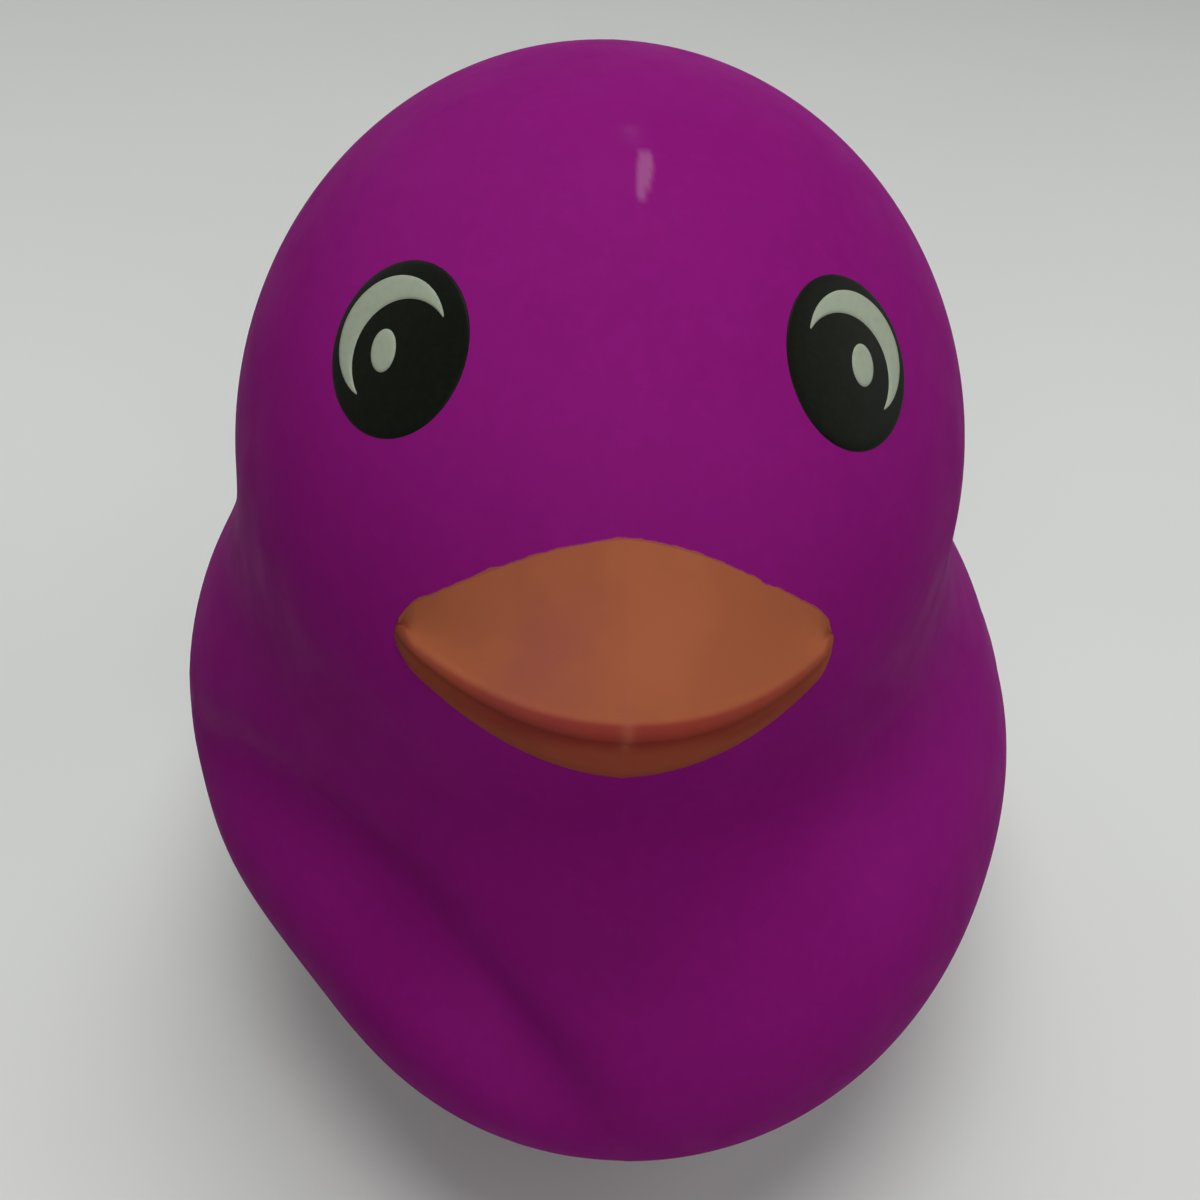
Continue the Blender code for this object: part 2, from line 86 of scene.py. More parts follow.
class DuckSizes(bpy.types.PropertyGroup):
    """Sizes of the duck's forms"""

    head_width: length("Head width", 52.0, "Width of the head's egg")
    head_depth: length("Head depth", 58.7, "Front to back of the head's egg")
    head_height: length("Head height", 55.8, "Height of the head's egg")
    body_width: length("Body width", 70.9, "Width of the body's egg")
    body_length: length("Body length", 98.7, "Length of the body's egg")
    body_height: length("Body height", 59.2, "Height of the body's egg, before it is cut flat")
    pushed_over: length("Pushed over", 3.7, "How far the thumb has pushed the body to its left")
    crease_depth: length("Crease depth", 3.1, "Depth of the crease in the breast")
    press_depth: length("Press depth", 0.7, "Depth of the shallow press below the crease")
    wing_relief: length("Wing relief", 1.2, "How far the folded wings stand out")
    seam_height: length("Seam height", 0.03, "How far the mould's parting line stands out")
    wall: length("Wall", 2.0, "Thickness of the vinyl")
    vent: length("Vent", 3.0, "Diameter of the vent in the underside")
    bill_width: length("Bill width", 26.8, "Width of the bill from corner to corner")
    bill_reach: length("Bill reach", 7.6, "How far the lip stands in front of the face")
    bill_rise: length("Bill rise", 5.8, "How far the bill's root stands above its lip")
    eye_width: length("Eye width", 9.9, "Width of the black print of an eye")
    eye_height: length("Eye height", 10.7, "Height of the black print of an eye")


class DuckFinish(bpy.types.PropertyGroup):
    """Colours and surfaces of the duck"""

    vinyl: colour("Vinyl", (0.258, 0.0090, 0.190), "Colour of the vinyl")
    vinyl_deep: colour("Deep vinyl", (0.238, 0.0068, 0.172), "The vinyl where it runs thicker")
    # Painted glint: the pale colour on the crown's raised nick stands for light caught on it, not
    # for scraped vinyl.
    painted_glint: colour("Scraped vinyl", (0.330, 0.078, 0.250), "The vinyl in the crown's nick")
    bill_paint: colour("Bill paint", (0.355, 0.103, 0.046), "Colour of the paint on the bill")
    # Painted shade: this darker paint on the bill's front and underside stands for the shade below
    # the lip, not for thicker spray.
    bill_painted_shade: colour("Deep bill paint", (0.260, 0.038, 0.026),
                      "The paint on the front and underside, where the spray lies thicker")
    eye_black: colour("Eye black", (0.0040, 0.0052, 0.0026), "Black of the eye prints")
    eye_white: colour("Eye white", (0.350, 0.395, 0.300), "White of the eye prints")
    floor: colour("Floor", (0.80, 0.82, 0.79), "The floor as the camera sees it")
    gloss: FloatProperty(name="Roughness", description="Mean roughness of the vinyl",
                         default=0.62, min=0.0, max=1.0, subtype="FACTOR")


class DuckStage(bpy.types.PropertyGroup):
    """Light and camera"""

    above_power: FloatProperty(name="Light above", description="Power of the light above",
                               default=3.2, min=0.0, unit="POWER")
    front_power: FloatProperty(name="Light in front",
                               description="Power of the low light in front",
                               default=2.0, min=0.0, unit="POWER")
    side_power: FloatProperty(name="Light to the side",
                              description="Power of the light on the duck's left",
                              default=0.8, min=0.0, unit="POWER")
    back_power: FloatProperty(name="Light behind",
                              description="Power of the light behind the duck's right",
                              default=0.4, min=0.0, unit="POWER")
    fill: FloatProperty(name="Fill", description="Strength of the even light all round",
                        default=0.035, min=0.0)
    lens: FloatProperty(name="Lens", description="Focal length in millimetres on a 36 mm sensor",
                        default=48.0, min=1.0, subtype="DISTANCE_CAMERA")
    rings: IntProperty(name="Skin rings", description="Rings in the skin's mesh", default=290,
                       min=60)
    columns: IntProperty(name="Skin columns", description="Columns in the skin's mesh",
                         default=296, min=60)


# Where the forms sit, in the duck's own frame
HEAD_CENTRE = np.array([0.0, -17.3, 60.7]) * MM
BODY_CENTRE_HEIGHT = 25.5 * MM
BREAST_CENTRE = np.array([0.0, -15.8, 33.8]) * MM
BREAST_SIZE = np.array([63.4, 36.0, 46.8]) * MM
NECK_CENTRE = np.array([0.0, -9.6, 43.1]) * MM
NECK_SIZE = np.array([58.4, 48.1, 28.0]) * MM
TAIL_BEHIND = 29.0 * MM
TAIL_CENTRE_HEIGHT = 39.0 * MM
TAIL_SIZE = np.array([30.0, 50.0, 16.0]) * MM
TAIL_UPTURN = math.radians(27.0)
BODY_BLEND = 8.0 * MM
NECK_BLEND = 9.5 * MM
TAIL_BLEND = 12.0 * MM
BASE_BLEND = 1.6 * MM

WING_SIZE = np.array([47.0, 21.0]) * MM
WING_BEHIND = 12.0 * MM
WING_CENTRE_HEIGHT = 25.0 * MM
WING_TILT = math.radians(14.0)
WING_EDGE = 4.6 * MM
WING_TAPER = 0.35

CREASE_HEIGHT = 34.5 * MM
CREASE_MIDDLE = -21.0 * MM
CREASE_ARCH_RADIUS = 22.0 * MM
CREASE_ABOVE = 4.8 * MM
CREASE_BELOW = 5.4 * MM
CREASE_INNER_END = 5.0 * MM
CREASE_FADE = 12.0 * MM
CREASE_BACK_END = -14.0 * MM
PRESS_PLACE = np.array([-22.0, -33.0, 17.0]) * MM
PRESS_RADIUS = 11.0 * MM

PAD_SIZE = np.array([32.0, 44.0]) * MM
PAD_PROUD = 0.4 * MM
PAD_EDGE = 0.2 * MM

SEAM_HALF_WIDTH = 0.32 * MM
NICK_PLACE = np.array([0.95, -29.75]) * MM
NICK_LENGTH = 3.9 * MM
NICK_HALF_WIDTH = 0.45 * MM
NICK_BEND = 0.45 * MM
NICK_EDGE = 0.14 * MM
NICK_HEIGHT = 0.05 * MM
NICK_SPOT = np.array([0.15, -26.5]) * MM
NICK_SPOT_SIZE = 0.6 * MM
FAN_CLEARANCE = 17.0 * MM

# Meshes: rings and columns of the coarse skin that is only measured, and of the cavity, how
# far the skin's columns crowd towards the middle plane, and the bill's sections
COARSE_MESH = (74, 54)
CAVITY_MESH = (40, 32)
CROWDING = 0.6
BILL_SECTIONS = 200

# Bill
BILL_CORNER_PROUD = 1.6 * MM
BILL_SWEEP = 2.1
BILL_RISE_CURVE = 1.7
BILL_HOLLOW = 0.4 * MM
BILL_HEIGHT = 5.4 * MM
BILL_BURIED = 3.0 * MM
BILL_END_BURIED = 0.8 * MM
# Shares: how much the front thins towards the corners, and how much of each side rounds off
BILL_THINNING = 0.6
BILL_THINNING_CURVE = 1.5
BILL_END = 0.11
LIP_ABOVE_HEAD_CENTRE = 3.9 * MM
LIP_CORNER_DROP = 1.4 * MM
LIP_THICKNESS = 1.6 * MM
LIP_ROUND = 1.0 * MM
LOWER_BILL_SET_BACK = 1.2 * MM
LOWER_BILL_ROUND = 1.5 * MM
GROOVE_WIDTH = 0.9 * MM
GROOVE_DEPTH = 0.8 * MM
NUB_HALF_WIDTH = 0.38 * MM
BILL_SEAM_HEIGHT = 0.06 * MM

# Bill paint. A step in its upper edge has a place across the bill, a half width and a rise
PAINT_BAND = 2.0 * MM
PAINT_OVERLAP = 0.10 * MM
PAINT_STEPS = np.array([(-11.7, 0.50, 0.16), (-7.7, 0.45, 0.14), (8.4, 0.50, -0.14)]) * MM
# Painted shade below the lip: the depths below the lip's edge over which it comes in, and over
# which it lessens on the nub and on the lower bill.
PAINTED_SHADE_EDGE = np.array([0.02, 0.25]) * MM
NUB_FOOT = np.array([2.4, 3.0]) * MM
LOWER_BILL_TOP = np.array([2.2, 3.2]) * MM
THIN_PATCH_PLACE = np.array([-4.6, -50.0, 66.0]) * MM
THIN_PATCH_SIZE = 4.5 * MM
THIN_PATCH = 0.09
THIN_SEAM = 0.06

# Eyes
EYE_TURN = math.radians(36.5)
EYE_RAISE = math.radians(36.2)
GLINT_OUTER = (-0.5 * MM, 0.6 * MM, 3.87 * MM)
GLINT_INNER = (0.5 * MM, -0.75 * MM, 3.5 * MM)
DOT_SIZE = (1.9 * MM, 2.7 * MM)
DOT_PLACE = (-0.7 * MM, -0.2 * MM)
PRINT_THICKNESS = 0.10 * MM
PRINT_BURIED = 0.5 * MM

# Stage: where the lights are, seen from the duck's middle, and how far off and how wide
ABOVE = (0.0, 0.0, 1.0)
IN_FRONT = (0.0, -0.95, 0.35)
TO_THE_SIDE = (0.9, 0.0, 0.4)
BEHIND = (-0.6, 0.5, 0.6)
LIGHT_DISTANCE = 0.70
LIGHT_SIZE = 0.55

# The strength of the backdrop as it is seen, and the share of its light the floor throws back
BACKDROP = 0.70
FLOOR_BOUNCE = 0.10

# The camera, fitted to the photograph's outline, in the duck's own frame
CAMERA_PLACE = np.array([-6.99, -119.44, 119.8]) * MM
CAMERA_RIGHT = (0.9978, -0.0381, 0.0535)
CAMERA_UP = (-0.0212, 0.5840, 0.8114)
CAMERA_BACK = (-0.0621, -0.8108, 0.5820)


# Forms, as distances: below zero inside, zero on the skin, above zero outside

def egg(points, centre, size):
    """Distance to an egg, to first order: k (k - 1) / m, where k is the length of the point
    measured in half sizes and m the length of it measured in squared half sizes."""
    half = np.asarray(size) / 2.0
    away = points - np.asarray(centre)
    k = np.sqrt(((away / half) ** 2).sum(-1))
    m = np.sqrt(((away / half**2) ** 2).sum(-1)) + 1e-9
    return k * (k - 1.0) / m


def merged(a, b, blend):
    """The nearer of two forms, with the crease between them filled over the blend."""
    filled = np.maximum(blend - np.abs(a - b), 0.0) / blend
    return np.minimum(a, b) - filled**2 * blend / 4.0


def smooth_step(value, start, end):
    """0 before start, 1 after end, and a smooth S between them."""
    t = np.clip((value - start) / (end - start), 0.0, 1.0)
    return t * t * (3.0 - 2.0 * t)


def bell(value, half_width):
    """1 at zero, falling off as exp(-(value / half_width)^2)."""
    return np.exp(-((value / half_width) ** 2))


def tilted(points, centre, angle):
    """Points in the frame of a form that is turned up at the back by the angle."""
    away = points - np.asarray(centre)
    c, s = math.cos(angle), math.sin(angle)
    return np.stack([away[..., 0], c * away[..., 1] + s * away[..., 2],
                     c * away[..., 2] - s * away[..., 1]], -1)


def nick_and_glint(points):
    """How much of the crown's nick is at each point, from 0 to 1, which sets both its low relief
    and its pale painted glint. Seen from above it is a bent leaf: at u from -1 in front to 1
    behind, its half width is sqrt(1 - u^2) (1 + u / 4) and its middle bends over as (1 - u)^2.
    A faint spot lies behind it."""
    x, y = points[..., 0], points[..., 1]
    u = np.clip((y - NICK_PLACE[1]) / (NICK_LENGTH / 2.0), -1.0, 1.0)
    half = NICK_HALF_WIDTH * np.sqrt(1.0 - u**2) * (1.0 + u / 4.0)
    middle = NICK_PLACE[0] - NICK_BEND * (1.0 - u) ** 2 / 4.0
    leaf = smooth_step(half - np.abs(x - middle), -NICK_EDGE, NICK_EDGE) * (np.abs(u) < 1.0)
    spot = bell(np.linalg.norm(points[..., :2] - NICK_SPOT, axis=-1), NICK_SPOT_SIZE)
    return np.maximum(leaf, 0.2 * spot) * (points[..., 2] > HEAD_CENTRE[2])


class Forms:
    """The duck's forms at the sizes in the sidebar."""

    def __init__(self, sizes):
        self.s = sizes
        self.head = np.array([sizes.head_width, sizes.head_depth, sizes.head_height])
        self.body = np.array([sizes.body_width, sizes.body_length, sizes.body_height])
        self.offset = self.onto_the_solid()

    def onto_the_solid(self):
        """The move from the duck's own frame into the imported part's: the middle of the box
        round a coarse skin and the bill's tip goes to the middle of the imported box."""
        rings, _ = fan_of_rings(self, self.skin, *COARSE_MESH, 0.0)
        rings = rings.reshape(-1, 3)
        low, high = rings.min(axis=0), rings.max(axis=0)
        low[1] = min(low[1], self.bill_tip())
        middle = (np.array(CAD_LOW) + np.array(CAD_HIGH) - low - high) / 2.0
        return np.array([middle[0], middle[1], 0.0])

    def face_front(self, x, z):
        """Y of the head's front at a sideways place and a height."""
        left = (1.0 - (x / (self.head[0] / 2.0)) ** 2
                - ((z - HEAD_CENTRE[2]) / (self.head[2] / 2.0)) ** 2)
        return HEAD_CENTRE[1] - self.head[1] / 2.0 * np.sqrt(np.clip(left, 0.01, 1.0))

    def bill_tip(self):
        """Y of the lip's middle."""
        return self.face_front(0.0, HEAD_CENTRE[2]) - self.s.bill_reach

    def middle_line(self, heights):
        """Sideways place of the parting line: the push in the body, zero in the head."""
        return self.s.pushed_over * (1.0 - smooth_step(heights, BODY_CENTRE_HEIGHT, HEAD_CENTRE[2]))

    def bare(self, points):
        """Head, neck, breast, body and tail run into each other, with no relief on them."""
        side = self.s.pushed_over
        body = egg(points, (side, 0.0, BODY_CENTRE_HEIGHT), self.body)
        breast = egg(points, BREAST_CENTRE, BREAST_SIZE)
        neck = egg(points, NECK_CENTRE, NECK_SIZE)
        tail = egg(tilted(points, (side, TAIL_BEHIND, TAIL_CENTRE_HEIGHT), TAIL_UPTURN),
                   (0.0, 0.0, 0.0), TAIL_SIZE)
        form = merged(merged(body, breast, BODY_BLEND), tail, TAIL_BLEND)
        form = merged(form, neck, BODY_BLEND)
        return merged(form, egg(points, HEAD_CENTRE, self.head), NECK_BLEND)

    def wings(self, points):
        """A wing is a leaf: across the line from its round front to its pointed rear, its half
        height is sqrt(1 - u^2) (1 - taper u)."""
        place = (self.s.pushed_over, WING_BEHIND, WING_CENTRE_HEIGHT)
        leaf = tilted(points, place, WING_TILT)
        u = leaf[..., 1] / (WING_SIZE[0] / 2.0)
        half = WING_SIZE[1] / 2.0 * np.sqrt(np.clip(1.0 - u**2, 0.0, 1.0)) * (1.0 - WING_TAPER * u)
        inside = np.minimum(half - np.abs(leaf[..., 2]), (1.0 - np.abs(u)) * WING_SIZE[0] / 2.0)
        flank = smooth_step(np.abs(leaf[..., 0]), self.body[0] / 8.0, self.body[0] / 4.0)
        return self.s.wing_relief * smooth_step(inside, 0.0, WING_EDGE) * flank

    def dent(self, points):
        """A valley along a low arch across the right of the breast, steep above and gentler
        below, which fades out at both ends, and the shallow press under it."""
        x, y, z = points[..., 0], points[..., 1], points[..., 2]
        across = z - CREASE_HEIGHT + (x - CREASE_MIDDLE) ** 2 / (2.0 * CREASE_ARCH_RADIUS)
        valley = bell(across, np.where(across > 0.0, CREASE_ABOVE, CREASE_BELOW))
        inner = 1.0 - smooth_step(x, CREASE_INNER_END - CREASE_FADE, CREASE_INNER_END)
        back = 1.0 - smooth_step(y, CREASE_BACK_END - CREASE_FADE, CREASE_BACK_END)
        press = bell(np.linalg.norm(points - PRESS_PLACE, axis=-1), PRESS_RADIUS)
        return self.s.crease_depth * valley * inner * back + self.s.press_depth * press

    def seam(self, points):
        """The parting line, a low bell across the middle plane, and the nick on the crown."""
        off = points[..., 0] - self.middle_line(points[..., 2])
        return self.s.seam_height * bell(off, SEAM_HALF_WIDTH) + NICK_HEIGHT * nick_and_glint(points)

    def skin(self, points):
        """The whole outer skin, cut flat underneath at the top of the pad."""
        form = self.bare(points) - self.wings(points) + self.dent(points) - self.seam(points)
        return -merged(-form, points[..., 2] - PAD_PROUD, BASE_BLEND)

    def cavity(self, points):
        """The inside of the wall."""
        form = self.bare(points) + self.dent(points)
        return -merged(-form, points[..., 2] - PAD_PROUD, BASE_BLEND) + self.s.wall


def crossing(start, along, distance, reach, steps=44):
    """How far along each ray the distance first rises through zero: even steps out until each
    ray is outside, and then the last step is halved again and again."""
    stride = reach / steps
    low = np.zeros(start.shape[:-1])
    open_ray = np.ones(low.shape, bool)
    for _ in range(steps):
        high = low + stride
        outside = distance(start + along * high[..., None]) > 0.0
        open_ray &= ~outside
        low = np.where(open_ray, high, low)
    high = low + stride
    for _ in range(18):
        middle = (low + high) / 2.0
        beyond = distance(start + along * middle[..., None]) > 0.0
        high = np.where(beyond, middle, high)
        low = np.where(beyond, low, middle)
    return (low + high) / 2.0


def outward(points, distance):
    """Unit directions in which the distance grows."""
    sides = np.eye(3) * 0.02 * MM
    grow = np.stack([distance(points + side) - distance(points - side) for side in sides], -1)
    return grow / np.linalg.norm(grow, axis=-1, keepdims=True)


def fan_of_rings(forms, distance, rings, columns, crowding):
    """The skin as rings of points, and its two poles at the tail tip and the crown.

    Planes fan out from a line behind the neck, and each cuts the duck in one ring. A ring's
    points are cast out from its middle at the angles u + crowding sin(2u) / 2, which crowd
    towards the middle plane. The planes part evenly along the duck's outline, which counts
    twice on its underside, breast and face."""
    hinge = np.array([HEAD_CENTRE[1] + forms.head[1] / 2.0 + FAN_CLEARANCE,
                      HEAD_CENTRE[2] + FAN_CLEARANCE])
    marks = np.linspace(0.0, forms.body[1] + forms.head[2], 400)
    turns = np.radians(np.linspace(-10.0, -230.0, 2201))
    aim = np.stack([np.cos(turns), np.sin(turns)], -1)
    line = hinge + aim[:, None, :] * marks[:, None]
    line = np.concatenate([forms.middle_line(line[..., 1:]), line], -1)
    inside = distance(line) < 0.0
    kept = np.flatnonzero(inside.any(-1))
    near = inside.argmax(-1)[kept]
    far = (len(marks) - 1 - inside[:, ::-1].argmax(-1))[kept]
    near_step, far_step = (np.linalg.norm(np.diff(line[kept, edge], axis=0), axis=1)
                           for edge in (near, far))
    walked = np.concatenate([[0.0], np.cumsum(near_step + 2.0 * far_step)])
    turns = turns[kept]
    stops = np.interp(np.linspace(0.0, walked[-1], rings + 2), walked, turns)
    aim = np.stack([np.zeros(rings + 2), np.cos(stops), np.sin(stops)], -1)
    to_middle = np.interp(-stops, -turns, (marks[near] + marks[far]) / 2.0)
    middle = np.concatenate([[0.0], hinge]) + aim * to_middle[:, None]
    middle[:, 0] = forms.middle_line(middle[:, 2])
    poles, middle, aim = middle[[0, -1]], middle[1:-1], aim[1:-1]
    u = np.linspace(0.0, 2.0 * np.pi, columns, endpoint=False)
    around = u + crowding * np.sin(2.0 * u) / 2.0
    along = (np.cos(around)[None, :, None] * np.array([1.0, 0.0, 0.0])
             + np.sin(around)[None, :, None] * aim[:, None, :])
    start = np.broadcast_to(middle[:, None, :], along.shape)
    away = crossing(start, along, distance, 0.66 * forms.body[1])
    return start + along * away[..., None], poles


# Meshes

def new_piece(name, points, quads, triangles, materials, forms, which=None):
    """A piece whose place is in its mesh, riding on the duck's one body."""
    mesh = bpy.data.meshes.new(name)
    faces = [tuple(f) for f in quads.tolist()] + [tuple(f) for f in triangles.tolist()]
    mesh.from_pydata((points + forms.offset).tolist(), [], faces)
    for material in materials:
        mesh.materials.append(material)
    if which is not None:
        mesh.polygons.foreach_set("material_index", which)
    mesh.shade_smooth()
    mesh.update()
    piece = bpy.data.objects.new(name, mesh)
    bpy.context.scene.collection.objects.link(piece)
    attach(piece, "root")
    return piece


def ring_faces(count, columns, start=0):
    """Quads between neighbouring rings, and the triangles that close both ends on poles that
    follow the rings in the list of points."""
    i, j = np.meshgrid(np.arange(count - 1), np.arange(columns), indexing="ij")
    k = (j + 1) % columns
    quads = np.stack([i * columns + j, i * columns + k,
                      (i + 1) * columns + k, (i + 1) * columns + j], -1).reshape(-1, 4)
    j = np.arange(columns)
    k = (j + 1) % columns
    first, last = count * columns, count * columns + 1
    bottom = (count - 1) * columns
    ends = np.concatenate([np.stack([np.full(columns, first), k, j], -1),
                           np.stack([np.full(columns, last), bottom + j, bottom + k], -1)])
    return quads + start, ends + start


def face_outward(piece):
    """Turns every face of a closed piece outward."""
    shape = bmesh.new()
    shape.from_mesh(piece.data)
    bmesh.ops.recalc_face_normals(shape, faces=shape.faces)
    shape.to_mesh(piece.data)
    shape.free()


def upright_bar(name, forms, half_sizes, heights, columns, material):
    """A closed oval bar that stands at the body's middle: (a cos u, b sin u) at each height,
    with the half sizes a and b of that height."""
    u = np.linspace(0.0, 2.0 * np.pi, columns, endpoint=False)
    a, b, z = half_sizes[:, :1], half_sizes[:, 1:], heights[:, None]
    middle = np.array([forms.s.pushed_over, 0.0, 0.0])
    rings = middle + np.stack([a * np.cos(u), b * np.sin(u), z + 0.0 * u], -1)
    poles = middle + heights[[0, -1], None] * np.array([0.0, 0.0, 1.0])
    quads, ends = ring_faces(*rings.shape[:2])
    bar = new_piece(name, np.concatenate([rings.reshape(-1, 3), poles]), quads, ends,
                    [material], forms)
    face_outward(bar)
    return bar


def pad_and_vent(forms, material):
    """The oval pad that the duck stands on, with its rounded rim, and the vent's cutter."""
    turn = np.linspace(0.0, np.pi / 2.0, 7)
    fall = np.append(PAD_EDGE * (1.0 - np.sin(turn)), 0.0)
    heights = np.append(PAD_EDGE * (1.0 - np.cos(turn)), PAD_PROUD + forms.s.wall / 2.0)
    pad = upright_bar("pad", forms, PAD_SIZE / 2.0 - fall[:, None], heights, 160, material)
    bore = np.full((2, 2), forms.s.vent / 2.0)
    vent = upright_bar("vent", forms, bore, np.array([-2.0, 2.0]) * forms.s.wall, 48, material)
    return pad, vent


def floor_plane(finish):
    """A square floor with its middle under the duck."""
    u, v = np.meshgrid(np.linspace(-1.5, 1.5, 5), np.linspace(-1.5, 1.5, 5), indexing="ij")
    points = np.stack([u, v, np.zeros_like(u)], -1).reshape(-1, 3)
    i, j = np.meshgrid(np.arange(4), np.arange(4), indexing="ij")
    quads = np.stack([i * 5 + j, i * 5 + 5 + j, i * 5 + 6 + j, i * 5 + 1 + j], -1).reshape(-1, 4)
    mesh = bpy.data.meshes.new("floor")
    mesh.from_pydata(points.tolist(), [], quads.tolist())
    mesh.materials.append(pale_floor(finish))
    floor = bpy.data.objects.new("floor", mesh)
    bpy.context.scene.collection.objects.link(floor)
    return floor


def combine(piece, added, removed):
    """Joins tools to the piece and cuts tools out of it for good, and removes the tools."""
    tools = added + removed
    for tool in tools:
        cut = piece.modifiers.new(tool.name, "BOOLEAN")
        cut.operation = "UNION" if tool in added else "DIFFERENCE"
        cut.solver = "EXACT"
        cut.object = tool
    bpy.context.view_layer.update()
    shape = piece.evaluated_get(bpy.context.evaluated_depsgraph_get())
    mesh = bpy.data.meshes.new_from_object(shape)
    piece.modifiers.clear()
    old, piece.data = piece.data, mesh
    bpy.data.meshes.remove(old)
    mesh.name = piece.name
    for tool in tools:
        bpy.data.objects.remove(tool, do_unlink=True)


def add_attribute(piece, name, values):
    """A number at each vertex, for the materials to read."""
    piece.data.attributes.new(name, "FLOAT", "POINT").data.foreach_set("value", values)


def own_places(piece, forms):
    """The piece's vertices in the duck's own frame."""
    flat = np.empty(len(piece.data.vertices) * 3)
    piece.data.vertices.foreach_get("co", flat)
    return flat.reshape(-1, 3) - forms.offset


# Bill

def painted_shade_cover(forms, points):
    """How much painted shade is at each point of the bill, drawn as darker paint where the front
    and underside turn away from the light above: none on the top, all of it from a quarter of a
    millimetre below the lip's edge, less on the nub, and less on the lower bill and towards the
    corners."""
    t = np.clip(points[:, 0] / (forms.s.bill_width / 2.0), -1.0, 1.0)
    below = bill_lines(forms, t)[2] - points[:, 2]
    nub = bell(points[:, 0], NUB_HALF_WIDTH) * (1.0 - smooth_step(below, *NUB_FOOT))
    lower = smooth_step(below, *LOWER_BILL_TOP)
    return (smooth_step(below, *PAINTED_SHADE_EDGE) * (1.0 - 0.5 * nub) * (1.0 - 0.4 * lower)
            * (1.0 - 0.6 * t**2))


def quarter_round(depth, radius):
    """How far a round edge falls back, at a depth below its face."""
    inside = np.clip(radius - depth, 0.0, radius)
    return radius - np.sqrt(radius**2 - inside**2)


def bill_lines(forms, t):
    """Heights and places along the bill, at t from -1 to 1 across it: lip, root, the point each
    section shrinks to, and how far it has shrunk, which is sqrt(1 - u^2) over the last share u
    of each side."""
    x = t * forms.s.bill_width / 2.0
    z_lip = HEAD_CENTRE[2] + LIP_ABOVE_HEAD_CENTRE - LIP_CORNER_DROP * t**2
    z_root = z_lip + forms.s.bill_rise * (1.0 - np.abs(t) ** BILL_RISE_CURVE)
    lip_height = HEAD_CENTRE[2] + LIP_ABOVE_HEAD_CENTRE
    y_corner = forms.face_front(forms.s.bill_width / 2.0, lip_height) - BILL_CORNER_PROUD
    y_lip = forms.bill_tip() + (y_corner - forms.bill_tip()) * np.abs(t) ** BILL_SWEEP
    end = np.stack([x, forms.face_front(x, z_lip) + BILL_END_BURIED,
                    z_lip - BILL_HEIGHT / 3.0], -1)
    u = np.clip((np.abs(t) - 1.0 + BILL_END) / BILL_END, 0.0, 1.0)
    return x, y_lip, z_lip, z_root, end, np.sqrt(1.0 - u**2)


def bill_rings(forms, stations, top_count=46, front_count=64):
    """The bill as closed sections. Each runs along the top from the face to the lip, down the
    front past the mouth groove, and back along the underside into the head. The lip sweeps
    back from its middle as a power of |t|, the lower bill thins and comes forward towards the
    corners, and the parting line stands up along x = 0 and bridges the groove as a nub."""
    t = np.sin(np.linspace(-np.pi / 2.0, np.pi / 2.0, stations + 2))
    thin = (1.0 - BILL_THINNING * np.abs(t) ** BILL_THINNING_CURVE)[:, None]
    full = 1.0 - t[:, None] ** 2
    x, y_lip, z_lip, z_root, end, shrink = (v[..., None] if v.ndim == 1 else v
                                            for v in bill_lines(forms, t))
    line = bell(x, SEAM_HALF_WIDTH)
    s = np.linspace(-0.45, 1.0, top_count)[None, :-1]
    y_root = forms.face_front(x, z_root)
    hollow = BILL_HOLLOW * np.sin(np.pi * np.clip(s, 0.0, 1.0))
    top_y = y_root + (y_lip + LIP_ROUND - y_root) * s
    top_z = z_root + (z_lip - z_root) * s - hollow + BILL_SEAM_HEIGHT * line
    depth = BILL_HEIGHT * (1.0 - np.cos(np.linspace(0.0, np.pi, front_count)))[None, :] / 2.0
    groove = LIP_THICKNESS + GROOVE_WIDTH / 2.0
    fall = quarter_round(depth, LIP_ROUND) + quarter_round(BILL_HEIGHT - depth, LOWER_BILL_ROUND)
    fall = fall + LOWER_BILL_SET_BACK * full * smooth_step(depth, LIP_ROUND, groove)
    cut = GROOVE_DEPTH * np.sqrt(full) * bell(depth - groove, GROOVE_WIDTH / 2.0)
    fall = fall + cut * (1.0 - bell(x, NUB_HALF_WIDTH)) - BILL_SEAM_HEIGHT * line
    front_y, front_z = y_lip + fall, z_lip - depth * thin
    z_under = z_lip - BILL_HEIGHT * thin
    y_chin = forms.face_front(x, z_under) + BILL_BURIED
    back = np.linspace(0.0, 1.0, 9)[None, 1:]
    under_y = front_y[:, -1:] + (y_chin - front_y[:, -1:]) * back
    y = np.concatenate([top_y, front_y, under_y, y_chin], 1)
    z = np.concatenate([top_z, front_z, z_under + 0.0 * back, (z_under + z_root) / 2.0], 1)
    sections = np.stack([np.broadcast_to(x, y.shape), y, z], -1)
    rings = end[:, None, :] + (sections - end[:, None, :]) * shrink[..., None]
    return rings[1:-1], end[[0, -1]]


